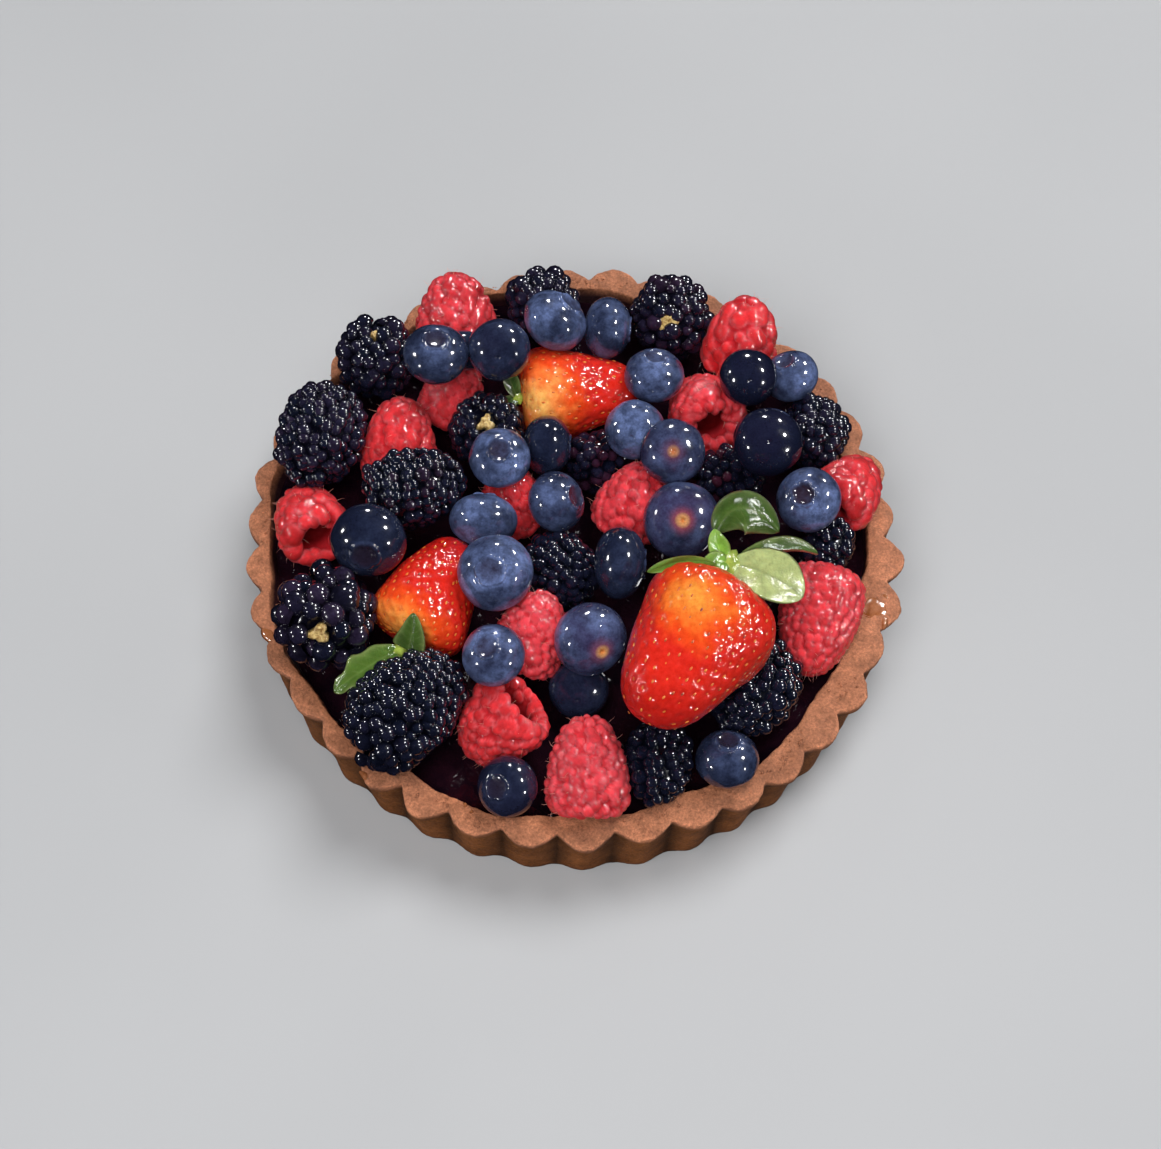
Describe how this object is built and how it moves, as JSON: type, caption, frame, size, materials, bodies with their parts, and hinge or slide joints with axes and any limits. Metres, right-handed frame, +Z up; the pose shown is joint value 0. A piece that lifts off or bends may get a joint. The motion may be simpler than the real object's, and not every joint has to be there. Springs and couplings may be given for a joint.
{
  "type": "fruit tart",
  "caption": "Round fruit tart: a fluted shortcrust shell with a dark set filling, heaped with whole glazed blueberries, brambles, raspberries and strawberries.",
  "frame": {"origin": "centre of the flat base of the shell, on the surface that the tart rests on", "axes": "+Z up, -Y towards the front, +X to the right seen from the front"},
  "size_m": [0.16, 0.1594, 0.0668],
  "materials": {
    "shortcrust": "baked shortcrust, matt and granular, brown and darker in the folds, with a few shiny drips of glaze",
    "set_filling": "set fruit jelly, dark plum, wet and glossy",
    "blueberry": "dark blue skin with patches of pale bloom, under a thin wet glaze",
    "bramble": "blue-black drupelets with purple hints, wet and glossy",
    "raspberry": "crimson drupelets with a pale frosty edge, under a thin wet glaze",
    "strawberry": "glossy red skin, yellow-orange towards the shoulder, with sunken yellow seeds",
    "leaf": "green leaf, glossy above and paler with veins below"
  },
  "bodies": {
    "root": {"shell": "shortcrust", "filling": "set_filling", "blueberry_01": "blueberry", "blueberry_02": "blueberry", "blueberry_03": "blueberry", "blueberry_04": "blueberry", "blueberry_05": "blueberry", "blueberry_06": "blueberry", "blueberry_07": "blueberry", "blueberry_08": "blueberry", "blueberry_09": "blueberry", "blueberry_10": "blueberry", "blueberry_11": "blueberry", "blueberry_12": "blueberry", "blueberry_13": "blueberry", "blueberry_14": "blueberry", "blueberry_15": "blueberry", "blueberry_16": "blueberry", "blueberry_17": "blueberry", "blueberry_18": "blueberry", "blueberry_19": "blueberry", "blueberry_20": "blueberry", "blueberry_21": "blueberry", "blueberry_22": "blueberry", "blueberry_23": "blueberry", "blueberry_24": "blueberry", "blueberry_25": "blueberry", "bramble_01": "bramble", "bramble_02": "bramble", "bramble_03": "bramble", "bramble_04": "bramble", "bramble_05": "bramble", "bramble_06": "bramble", "bramble_07": "bramble", "bramble_08": "bramble", "bramble_09": "bramble", "bramble_10": "bramble", "bramble_11": "bramble", "bramble_12": "bramble", "bramble_13": "bramble", "bramble_14": "bramble", "bramble_15": "bramble", "raspberry_01": "raspberry", "raspberry_02": "raspberry", "raspberry_03": "raspberry", "raspberry_04": "raspberry", "raspberry_05": "raspberry", "raspberry_06": "raspberry", "raspberry_07": "raspberry", "raspberry_08": "raspberry", "raspberry_09": "raspberry", "raspberry_10": "raspberry", "raspberry_11": "raspberry", "raspberry_12": "raspberry", "raspberry_13": "raspberry", "strawberry_01": "strawberry", "strawberry_02": "strawberry", "strawberry_03": "strawberry", "strawberry_01_leaves": "leaf", "strawberry_03_leaves": "leaf"}
  },
  "joints": []
}
